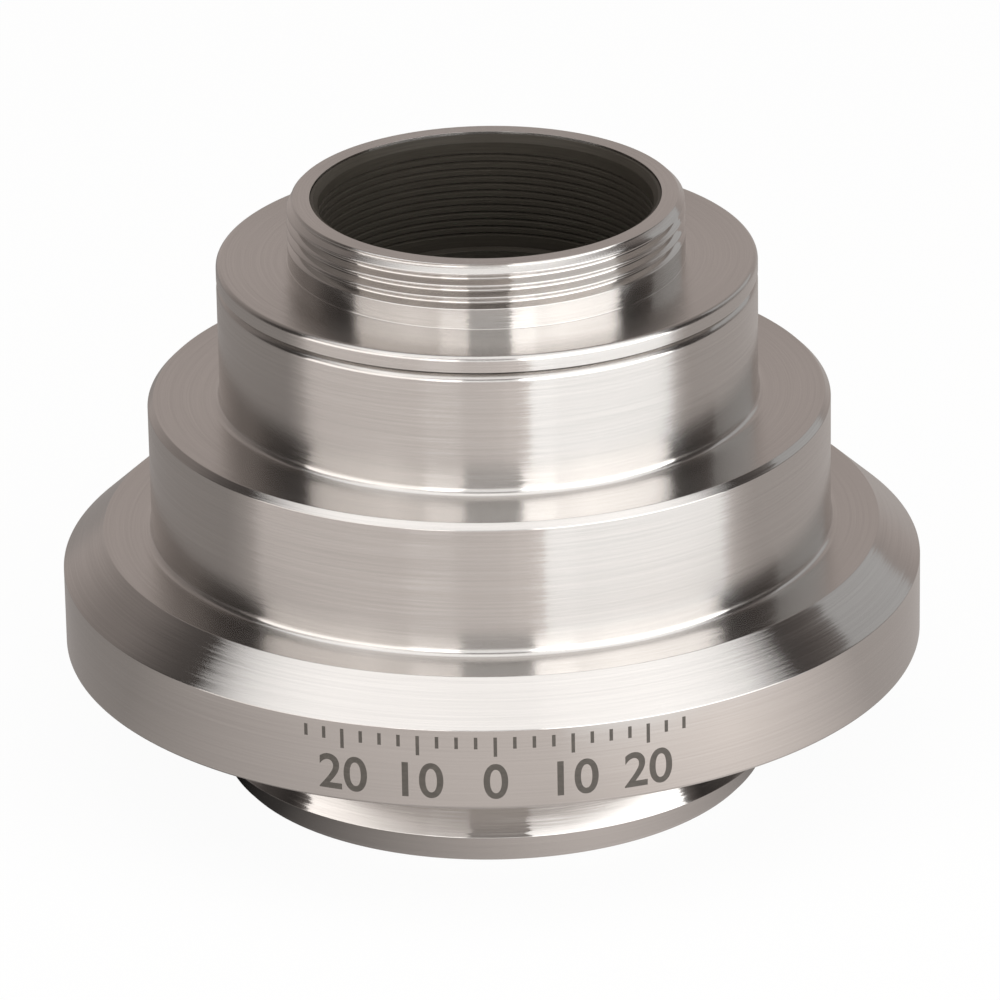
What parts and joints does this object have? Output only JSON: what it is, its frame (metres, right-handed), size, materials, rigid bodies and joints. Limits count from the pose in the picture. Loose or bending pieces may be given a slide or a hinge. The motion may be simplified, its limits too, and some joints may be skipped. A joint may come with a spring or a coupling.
{
  "type": "microscope camera adapter",
  "caption": "Stepped steel adapter with a threaded nose for a camera, a dovetail foot for a microscope and a reducing lens in a black barrel between them.",
  "frame": {"origin": "centre of the foot's lower face, where it rests on a table", "axes": "+Z along the optical axis towards the camera; the part is turned about it, so X and Y are free, and the picture looks along +Y and down"},
  "size_m": [0.0554, 0.0554, 0.0387],
  "materials": {
    "steel": "fine turned, satin",
    "black_aluminium": "black anodised, matt",
    "crown_glass": "polished, green coating",
    "flint_glass": "polished, green coating"
  },
  "bodies": {
    "root": {"stepped_body": "steel", "camera_nose": "steel", "lens_barrel": "black_aluminium", "upper_retaining_ring": "black_aluminium", "lower_retaining_ring": "black_aluminium", "barrel_lock_ring": "black_aluminium", "upper_spacer": "black_aluminium", "lower_spacer": "black_aluminium", "field_spacer": "black_aluminium", "aperture_stop": "black_aluminium", "upper_doublet_flint": "flint_glass", "upper_doublet_crown": "crown_glass", "relay_lens": "crown_glass", "lower_doublet_crown": "crown_glass", "lower_doublet_flint": "flint_glass", "field_lens": "crown_glass"}
  },
  "joints": []
}
